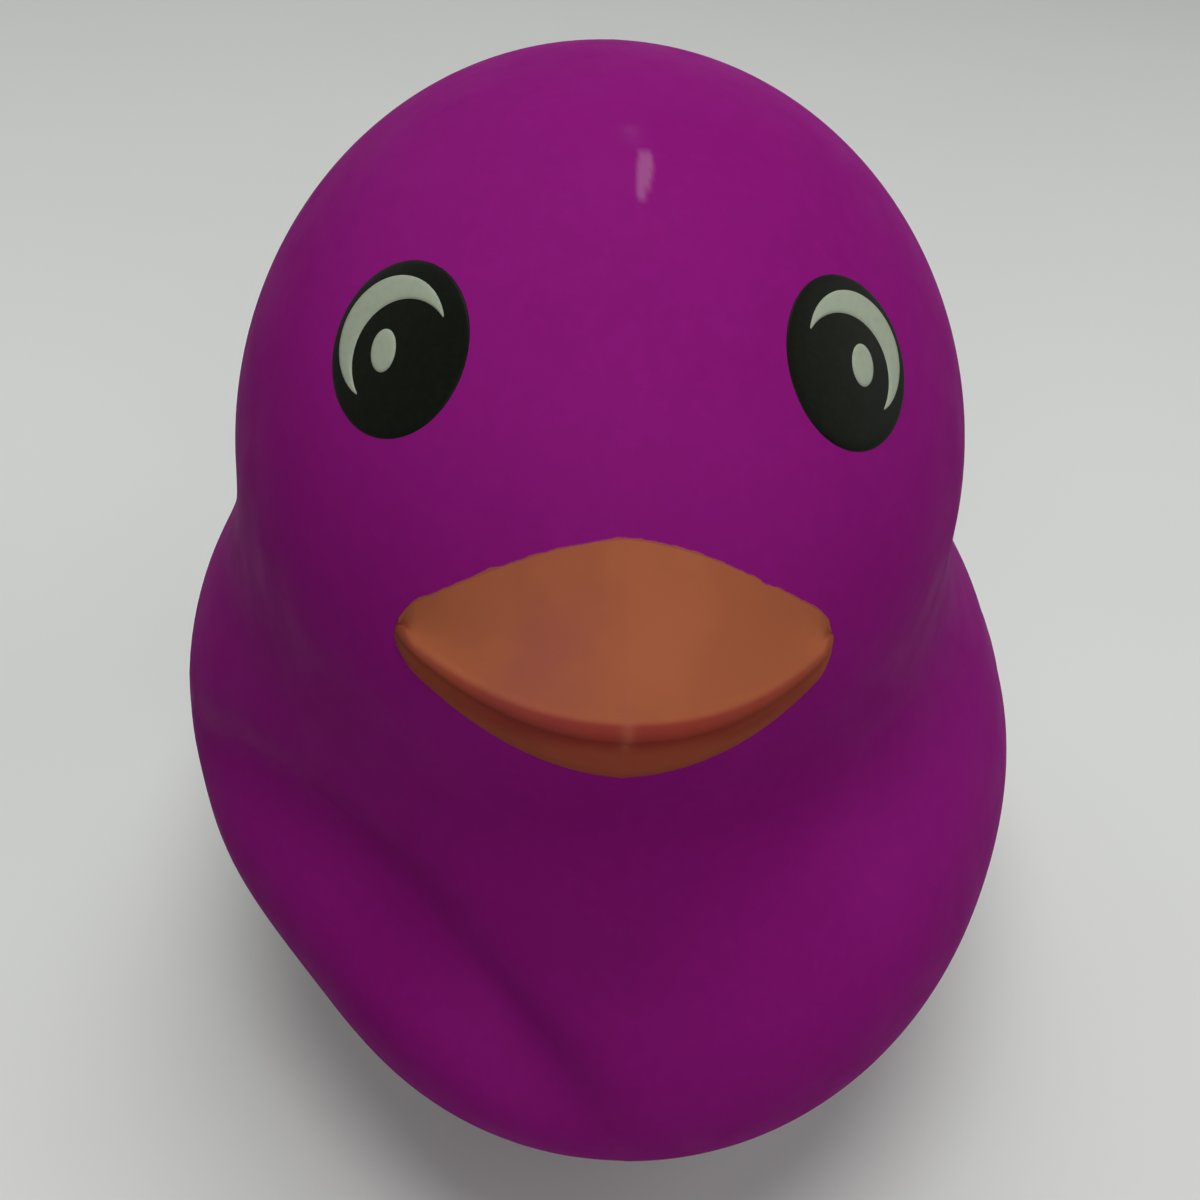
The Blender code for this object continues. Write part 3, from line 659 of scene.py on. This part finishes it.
def paint_cover(forms, points, on_bill):
    """How far a point lies under the bill's paint: 1 well under it, 0 well clear of it, and 0.5
    on the paint's upper edge. The edge follows the bill's root a little above it, wavers, and
    steps up and down where the mask has let the paint creep."""
    x, y, z = points[:, 0], points[:, 1], points[:, 2]
    t = np.clip(x / (forms.s.bill_width / 2.0), -1.0, 1.0)
    _, _, z_lip, z_root, end, shrink = bill_lines(forms, t)
    edge = end[:, 2] + (z_root - end[:, 2]) * shrink
    mm = x / MM
    waver = 0.03 * np.sin(mm / 1.7 + 0.6) + 0.02 * np.sin(mm / 0.71 + 2.0)
    edge = edge + PAINT_OVERLAP + waver * MM
    edge = edge + sum(rise * bell(x - place, half_width) for place, half_width, rise in PAINT_STEPS)
    cover = np.clip(0.5 + (edge - z) / PAINT_BAND, 0.0, 1.0)
    if on_bill:
        return np.where(z > end[:, 2] + 0.3 * MM, cover, 1.0)
    inside = (y < HEAD_CENTRE[1]) & (np.abs(t) < 0.985) & (z > z_lip - BILL_HEIGHT / 2.0)
    return np.where(inside, cover, 0.0)


# Eyes

def eye_frame(forms, side):
    """Centre of an eye on the skin, and its outward, inward and upright directions. The print
    stands upright in a fore-and-aft plane."""
    aim = np.array([side * math.sin(EYE_TURN) * math.cos(EYE_RAISE),
                    -math.cos(EYE_TURN) * math.cos(EYE_RAISE), math.sin(EYE_RAISE)])
    away = crossing(HEAD_CENTRE[None], aim[None], forms.skin, forms.head[1])
    centre = HEAD_CENTRE + aim * away[0]
    out = outward(centre[None], forms.skin)[0]
    upright = np.array([0.0, math.sin(EYE_RAISE), math.cos(EYE_RAISE)])
    upright -= out * (upright @ out)
    upright /= np.linalg.norm(upright)
    inward = np.cross(upright, out)
    inward *= -side * np.sign(inward[0])
    return centre, out, inward, upright


def dropped(forms, side, flat, height):
    """Places in the eye's own plane, dropped onto the skin along the eye's outward direction
    and then lifted off it by the height."""
    centre, out, inward, upright = eye_frame(forms, side)
    start = centre + flat[..., :1] * inward + flat[..., 1:] * upright - out * forms.head[0] / 8.0
    along = np.broadcast_to(out, start.shape)
    on_skin = start + along * crossing(start, along, forms.skin, forms.head[0] / 4.0)[..., None]
    return on_skin + outward(on_skin, forms.skin) * height[..., None]


def oval_rings(size, place, height, rings=26, columns=96):
    """A thin print with a round rim: flat places at r (cos a, sin a) in half sizes, with the
    height falling off at the rim as (1 - r^10)^(1/2), and a buried underside."""
    r = np.sqrt(np.linspace(0.0, 1.0, rings + 1))[1:]
    a = np.linspace(0.0, 2.0 * np.pi, columns, endpoint=False)
    r = np.concatenate([r, r[[-1, rings // 2]]])
    lift = height * np.sqrt(np.clip(1.0 - r**10, 0.0, 1.0))
    lift[-2:] = -PRINT_BURIED
    flat = np.stack([place[0] + size[0] / 2.0 * r[:, None] * np.cos(a),
                     place[1] + size[1] / 2.0 * r[:, None] * np.sin(a)], -1)
    poles = np.broadcast_to(np.array(place), (2, 2))
    return flat, np.repeat(lift[:, None], columns, 1), poles, np.array([height, -PRINT_BURIED])


def crescent_rings(height, rings=64, columns=16):
    """A thin print between two circles, from one of their crossings to the other. Each section
    runs across the top with a height of (1 - w^4)^(1/2) and back under the skin."""
    a, b = np.array(GLINT_OUTER[:2]), np.array(GLINT_INNER[:2])
    big, small = GLINT_OUTER[2], GLINT_INNER[2]
    apart = np.linalg.norm(b - a)
    along = (apart**2 + big**2 - small**2) / (2.0 * apart)
    turn = math.atan2(*(b - a)[::-1]) + np.pi
    share = np.sin(np.linspace(-np.pi / 2.0, np.pi / 2.0, rings + 2))
    outer_turn = turn + share * (np.pi - math.acos(along / big))
    inner_turn = turn + share * (np.pi - math.acos((along - apart) / small))
    outer = a + big * np.stack([np.cos(outer_turn), np.sin(outer_turn)], -1)
    inner = b + small * np.stack([np.cos(inner_turn), np.sin(inner_turn)], -1)
    across = np.linspace(-1.0, 1.0, columns)
    w = np.concatenate([across, across[::-1]])
    lift = np.concatenate([height * np.sqrt(np.clip(1.0 - across**4, 0.0, 1.0)),
                           np.full(columns, -PRINT_BURIED)])
    share = (w[None, :, None] + 1.0) / 2.0
    flat = outer[:, None, :] * (1.0 - share) + inner[:, None, :] * share
    thin = np.clip(np.linalg.norm(outer - inner, axis=-1) / (0.3 * MM), 0.0, 1.0)
    lifts = np.where(lift > -PRINT_BURIED / 2.0, lift * thin[:, None], lift)
    return flat[1:-1], lifts[1:-1], (outer + inner)[[0, -1]] / 2.0, np.zeros(2)


# Materials

def new_material(name):
    material = bpy.data.materials.new(name)
    material.use_nodes = True
    return material, material.node_tree, material.node_tree.nodes["Principled BSDF"]


def node(tree, kind, **settings):
    made = tree.nodes.new(kind)
    for key, value in settings.items():
        setattr(made, key, value)
    return made


def grain(tree, scale, detail=2.0, roughness=0.5):
    """Noise on Object coordinates, with its scale in cells a metre."""
    place = node(tree, "ShaderNodeTexCoord")
    noise = node(tree, "ShaderNodeTexNoise")
    noise.inputs["Scale"].default_value = scale
    noise.inputs["Detail"].default_value = detail
    noise.inputs["Roughness"].default_value = roughness
    tree.links.new(place.outputs["Object"], noise.inputs["Vector"])
    return noise.outputs["Fac"]


def remap(tree, value, low, high, to_low, to_high):
    """A value stretched from one range to another, and held there."""
    made = node(tree, "ShaderNodeMapRange", interpolation_type="SMOOTHSTEP")
    for key, number in zip(("From Min", "From Max", "To Min", "To Max"),
                           (low, high, to_low, to_high)):
        made.inputs[key].default_value = number
    tree.links.new(value, made.inputs["Value"])
    return made.outputs["Result"]


def mixed(tree, share, a, b):
    """Two colours or colour outputs mixed by a share."""
    made = node(tree, "ShaderNodeMix", data_type="RGBA")
    ends = [made.inputs["Factor"], made.inputs[6], made.inputs[7]]
    for end, value in zip(ends, (share, a, b)):
        if isinstance(value, bpy.types.NodeSocket):
            tree.links.new(value, end)
        else:
            end.default_value = value
    return made.outputs[2]


def total(tree, operation, a, b):
    """A sum or product of two numbers or number outputs."""
    made = node(tree, "ShaderNodeMath", operation=operation)
    for end, value in zip(made.inputs, (a, b)):
        if isinstance(value, bpy.types.NodeSocket):
            tree.links.new(value, end)
        else:
            end.default_value = value
    return made.outputs[0]


def bumped(tree, shader, layers):
    """Bump from several noises, each given as an output and its height in metres."""
    below = None
    for height, depth in layers:
        bump = node(tree, "ShaderNodeBump")
        bump.inputs["Strength"].default_value = 1.0
        bump.inputs["Distance"].default_value = depth
        tree.links.new(height, bump.inputs["Height"])
        if below is not None:
            tree.links.new(below, bump.inputs["Normal"])
        below = bump.outputs["Normal"]
    tree.links.new(below, shader.inputs["Normal"])


def moulded_vinyl(finish):
    """Soft vinyl with the bill's paint over it where the cover attribute says so. The vinyl
    drifts in depth of colour over centimetres, and carries a fine orange peel. The crown's nick
    is drawn pale, a painted glint. The paint is flatter, drawn darker under the lip as painted
    shade, lets the vinyl through where it is thin, and ends in a ragged edge."""
    material, tree, shader = new_material("purple_vinyl")
    drift = remap(tree, grain(tree, 38.0, 3.0), 0.35, 0.65, 0.0, 1.0)
    speck = remap(tree, grain(tree, 900.0, 3.0, 0.6), 0.35, 0.75, 0.0, 0.10)
    vinyl = mixed(tree, drift, (*finish.vinyl, 1.0), (*finish.vinyl_deep, 1.0))
    vinyl = mixed(tree, speck, vinyl, (*[c * 1.5 for c in finish.vinyl], 1.0))
    # Painted glint: the crown's nick is drawn in a pale colour for the light it catches.
    painted_glint = node(tree, "ShaderNodeAttribute", attribute_name="nick_and_glint")
    vinyl = mixed(tree, painted_glint.outputs["Fac"], vinyl, (*finish.painted_glint, 1.0))
    cloud = remap(tree, grain(tree, 160.0, 3.0), 0.3, 0.7, 0.0, 1.0)
    # Painted shade: the bill's front and underside are drawn darker for the shade below the lip.
    lip_shade = node(tree, "ShaderNodeAttribute", attribute_name="painted_shade_under_lip")
    paint = mixed(tree, lip_shade.outputs["Fac"], (*finish.bill_paint, 1.0), (*finish.bill_painted_shade, 1.0))
    shade = remap(tree, cloud, 0.0, 1.0, 1.0, 0.9)
    paint = mixed(tree, shade, (0.0, 0.0, 0.0, 1.0), paint)
    thin = node(tree, "ShaderNodeAttribute", attribute_name="thin_paint")
    paint = mixed(tree, total(tree, "MULTIPLY", thin.outputs["Fac"], cloud), paint,
                  (*finish.vinyl, 1.0))
    cover = node(tree, "ShaderNodeAttribute", attribute_name="paint_cover")
    ragged = remap(tree, grain(tree, 1300.0, 3.0, 0.6), 0.3, 0.7, -0.02, 0.02)
    edge = total(tree, "ADD", cover.outputs["Fac"], ragged)
    painted = remap(tree, edge, 0.475, 0.525, 0.0, 1.0)
    tree.links.new(mixed(tree, painted, vinyl, paint), shader.inputs["Base Color"])
    worn = remap(tree, grain(tree, 260.0, 4.0, 0.6), 0.3, 0.7, finish.gloss - 0.05,
                 finish.gloss + 0.06)
    rough = total(tree, "ADD", worn, total(tree, "MULTIPLY", painted, 0.06))
    tree.links.new(rough, shader.inputs["Roughness"])
    shader.inputs["Specular IOR Level"].default_value = 0.02
    shader.inputs["Subsurface Weight"].default_value = 0.06
    shader.inputs["Subsurface Radius"].default_value = (1.0, 0.4, 0.8)
    shader.inputs["Subsurface Scale"].default_value = 1.2 * MM
    peel = grain(tree, 2600.0, 2.0)
    waves = grain(tree, 70.0, 2.0)
    step = remap(tree, edge, 0.46, 0.54, 0.0, 1.0)
    bumped(tree, shader, [(waves, 0.015 * MM), (peel, 0.004 * MM), (step, 0.05 * MM)])
    return material


def eye_print(name, base, roughness, lift):
    """Printed ink: a flat colour that thins in tiny specks, over the orange peel."""
    material, tree, shader = new_material(name)
    speck = remap(tree, grain(tree, 2200.0, 3.0, 0.6), 0.4, 0.8, 0.0, 1.0)
    colour_out = mixed(tree, speck, (*base, 1.0), (*[c * lift for c in base], 1.0))
    tree.links.new(colour_out, shader.inputs["Base Color"])
    worn = remap(tree, grain(tree, 500.0, 3.0), 0.3, 0.7, roughness - 0.05, roughness + 0.05)
    tree.links.new(worn, shader.inputs["Roughness"])
    shader.inputs["Specular IOR Level"].default_value = 0.05
    bumped(tree, shader, [(grain(tree, 2600.0, 2.0), 0.005 * MM)])
    return material


def looked_at(tree):
    """1 for the camera's rays, and for those that reach the eye off a gloss or through glass."""
    seen = node(tree, "ShaderNodeLightPath")
    return total(tree, "MAXIMUM", seen.outputs["Is Camera Ray"],
                 total(tree, "MAXIMUM", seen.outputs["Is Glossy Ray"],
                       seen.outputs["Is Transmission Ray"]))


def pale_floor(finish):
    """A plain floor that looks pale, and throws little light back up at the duck, so that its
    lower half stays in shade."""
    material, tree, shader = new_material("pale_floor")
    pale = looked_at(tree)
    patch = remap(tree, grain(tree, 14.0, 3.0), 0.3, 0.7, 0.0, 0.25)
    shown = mixed(tree, patch, (*finish.floor, 1.0), (*[c * 0.94 for c in finish.floor], 1.0))
    tree.links.new(mixed(tree, pale, (*[c * FLOOR_BOUNCE for c in finish.floor], 1.0), shown),
                   shader.inputs["Base Color"])
    shader.inputs["Roughness"].default_value = 0.8
    return material


# Operators

def settings():
    scene = bpy.context.scene
    return scene.duck_sizes, scene.duck_finish, scene.duck_stage


def shared_vinyl(finish):
    """The vinyl is made once, and the skin and the bill share it."""
    return bpy.data.materials.get("purple_vinyl") or moulded_vinyl(finish)


class DUCK_OT_skin(bpy.types.Operator):
    """Make the hollow vinyl skin, with its dent, wings, parting line and vent"""

    bl_idname = "duck.skin"
    bl_label = "Skin"

    def execute(self, context):
        sizes, finish, stage = settings()
        forms = Forms(sizes)
        vinyl = shared_vinyl(finish)
        rings, poles = fan_of_rings(forms, forms.skin, stage.rings, stage.columns, CROWDING)
        quads, ends = ring_faces(*rings.shape[:2])
        skin = new_piece("duck_skin", np.concatenate([rings.reshape(-1, 3), poles]), quads, ends,
                         [vinyl], forms)
        face_outward(skin)
        rings, poles = fan_of_rings(forms, forms.cavity, *CAVITY_MESH, 0.0)
        quads, ends = ring_faces(*rings.shape[:2])
        hollow = new_piece("hollow", np.concatenate([rings.reshape(-1, 3), poles]), quads, ends,
                           [vinyl], forms)
        face_outward(hollow)
        pad, vent = pad_and_vent(forms, vinyl)
        combine(skin, [pad], [hollow, vent])
        skin.data.set_sharp_from_angle(angle=math.radians(50.0))
        points = own_places(skin, forms)
        add_attribute(skin, "paint_cover", paint_cover(forms, points, False))
        # The nick's mask, which sets where the vinyl is drawn pale as a painted glint.
        add_attribute(skin, "nick_and_glint", nick_and_glint(points))
        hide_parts("duck")
        return {"FINISHED"}


class DUCK_OT_bill(bpy.types.Operator):
    """Make the painted bill, with its lip, mouth groove and lower bill"""

    bl_idname = "duck.bill"
    bl_label = "Bill"

    def execute(self, context):
        sizes, finish, _ = settings()
        forms = Forms(sizes)
        rings, poles = bill_rings(forms, BILL_SECTIONS)
        quads, ends = ring_faces(*rings.shape[:2])
        bill = new_piece("duck_bill", np.concatenate([rings.reshape(-1, 3), poles]), quads, ends,
                         [shared_vinyl(finish)], forms)
        face_outward(bill)
        points = own_places(bill, forms)
        add_attribute(bill, "paint_cover", paint_cover(forms, points, True))
        # The share of painted shade below the lip, which the paint reads to draw the bill darker
        # there.
        add_attribute(bill, "painted_shade_under_lip", painted_shade_cover(forms, points))
        from_patch = np.linalg.norm(points - THIN_PATCH_PLACE, axis=-1)
        add_attribute(bill, "thin_paint", THIN_PATCH * bell(from_patch, THIN_PATCH_SIZE)
                      + THIN_SEAM * bell(points[:, 0], SEAM_HALF_WIDTH))
        return {"FINISHED"}


class DUCK_OT_eyes(bpy.types.Operator):
    """Make the printed eyes: a black oval, a white crescent and a white dot on each side"""

    bl_idname = "duck.eyes"
    bl_label = "Eyes"

    def execute(self, context):
        sizes, finish, _ = settings()
        forms = Forms(sizes)
        inks = [eye_print("eye_black_print", finish.eye_black, 0.36, 1.6),
                eye_print("eye_white_print", finish.eye_white, 0.42, 0.9)]
        for side, word in ((-1.0, "right"), (1.0, "left")):
            shapes = [oval_rings((sizes.eye_width, sizes.eye_height), (0.0, 0.0), PRINT_THICKNESS),
                      crescent_rings(2.0 * PRINT_THICKNESS),
                      oval_rings(DOT_SIZE, DOT_PLACE, 2.0 * PRINT_THICKNESS, 10, 48)]
            points, quads, ends, inked = [], [], [], [[], []]
            for index, (flat, lift, poles, pole_lift) in enumerate(shapes):
                rings = dropped(forms, side, flat, lift)
                tips = dropped(forms, side, poles, pole_lift)
                start = sum(len(p) for p in points)
                four, three = ring_faces(*rings.shape[:2], start)
                points.append(np.concatenate([rings.reshape(-1, 3), tips]))
                quads.append(four)
                ends.append(three)
                inked[0].append(np.full(len(four), min(index, 1)))
                inked[1].append(np.full(len(three), min(index, 1)))
            which = np.concatenate(inked[0] + inked[1])
            eye = new_piece("eye_print_" + word, np.concatenate(points), np.concatenate(quads),
                            np.concatenate(ends), inks, forms, which)
            face_outward(eye)
        return {"FINISHED"}


def soft_light(scene, name, power, towards):
    """A large round light, LIGHT_DISTANCE from the duck's middle and facing it."""
    light = bpy.data.lights.new(name, "AREA")
    light.shape = "DISK"
    light.size = LIGHT_SIZE
    light.energy = power
    lamp = bpy.data.objects.new(name, light)
    away = Vector(towards).normalized()
    middle = Vector((0.0, 0.0, (CAD_LOW[2] + CAD_HIGH[2]) / 2.0))
    turn = away.to_track_quat("Z", "Y")
    lamp.matrix_world = Matrix.LocRotScale(middle + away * LIGHT_DISTANCE, turn, None)
    scene.collection.objects.link(lamp)


def soft_room(fill):
    """An even light all round, which looks like a pale backdrop."""
    world = bpy.data.worlds.new("soft_room")
    world.use_nodes = True
    tree = world.node_tree
    sky = tree.nodes["Background"]
    sky.inputs["Color"].default_value = (1.0, 1.0, 1.0, 1.0)
    strength = remap(tree, looked_at(tree), 0.0, 1.0, fill, BACKDROP)
    tree.links.new(strength, sky.inputs["Strength"])
    return world


class DUCK_OT_stage(bpy.types.Operator):
    """Make the floor, the lights and the camera"""

    bl_idname = "duck.stage"
    bl_label = "Stage"

    def execute(self, context):
        sizes, finish, stage = settings()
        forms = Forms(sizes)
        scene = context.scene
        floor = floor_plane(finish)

        soft_light(scene, "light_above", stage.above_power, ABOVE)
        soft_light(scene, "light_in_front", stage.front_power, IN_FRONT)
        soft_light(scene, "light_to_the_side", stage.side_power, TO_THE_SIDE)
        soft_light(scene, "light_behind", stage.back_power, BEHIND)

        scene.world = soft_room(stage.fill)

        lens = bpy.data.cameras.new("camera")
        lens.sensor_width = 36.0
        lens.lens = stage.lens
        lens.clip_start = 0.005
        camera = bpy.data.objects.new("camera", lens)
        turned = np.stack([CAMERA_RIGHT, CAMERA_UP, CAMERA_BACK], -1)
        placed = np.eye(4)
        placed[:3, :3] = turned
        placed[:3, 3] = CAMERA_PLACE + forms.offset
        camera.matrix_world = Matrix(placed.tolist())
        scene.collection.objects.link(camera)
        scene.camera = camera
        scene.view_settings.view_transform = "Standard"
        return {"FINISHED"}


class DUCK_PT_panel(bpy.types.Panel):
    """Sizes, colours and steps of the duck"""

    bl_label = "Squeezable duck"
    bl_idname = "DUCK_PT_panel"
    bl_space_type = "VIEW_3D"
    bl_region_type = "UI"
    bl_category = "Duck"

    def draw(self, context):
        for group in settings():
            box = self.layout.box()
            for key in group.bl_rna.properties.keys():
                if key not in ("rna_type", "name"):
                    box.prop(group, key)
        for step in (DUCK_OT_skin, DUCK_OT_bill, DUCK_OT_eyes, DUCK_OT_stage):
            self.layout.operator(step.bl_idname)


CLASSES = (DuckSizes, DuckFinish, DuckStage, DUCK_OT_skin, DUCK_OT_bill, DUCK_OT_eyes,
           DUCK_OT_stage, DUCK_PT_panel)


def register():
    for kind in CLASSES:
        bpy.utils.register_class(kind)
    bpy.types.Scene.duck_sizes = PointerProperty(type=DuckSizes)
    bpy.types.Scene.duck_finish = PointerProperty(type=DuckFinish)
    bpy.types.Scene.duck_stage = PointerProperty(type=DuckStage)


def unregister():
    del bpy.types.Scene.duck_stage
    del bpy.types.Scene.duck_finish
    del bpy.types.Scene.duck_sizes
    for kind in reversed(CLASSES):
        bpy.utils.unregister_class(kind)


def main():
    register()
    bpy.ops.duck.skin()
    bpy.ops.duck.bill()
    bpy.ops.duck.eyes()
    bpy.ops.duck.stage()


if __name__ == "__main__":
    main()
